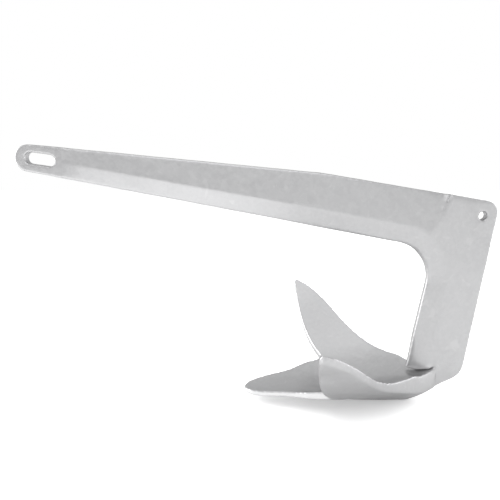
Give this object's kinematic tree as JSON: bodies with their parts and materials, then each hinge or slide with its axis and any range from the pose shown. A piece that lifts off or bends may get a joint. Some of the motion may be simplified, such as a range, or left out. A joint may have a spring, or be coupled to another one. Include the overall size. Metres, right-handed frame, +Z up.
{
  "type": "claw anchor",
  "caption": "Claw anchor of galvanised steel: bent shank with a slotted eye, trip-line hole at the elbow, and a dished claw with a centre fluke between swept side flukes.",
  "frame": {"origin": "middle of the anchor's footprint, on the ground under the keel of the claw", "axes": "+X from the shackle eye towards the heel, +Y across the flukes, +Z up with the claw flat on the ground"},
  "size_m": [0.5662, 0.3028, 0.3178],
  "materials": {
    "galvanised_casting": "hot-dip galvanised cast steel, matt, lightly mottled",
    "galvanised_weld": "hot-dip galvanised weld metal, matt, slightly rough"
  },
  "bodies": {
    "root": {"shank_beam": "galvanised_casting", "crown_arm": "galvanised_casting", "claw": "galvanised_casting", "elbow_weld": "galvanised_weld", "heel_weld": "galvanised_weld"}
  },
  "joints": []
}
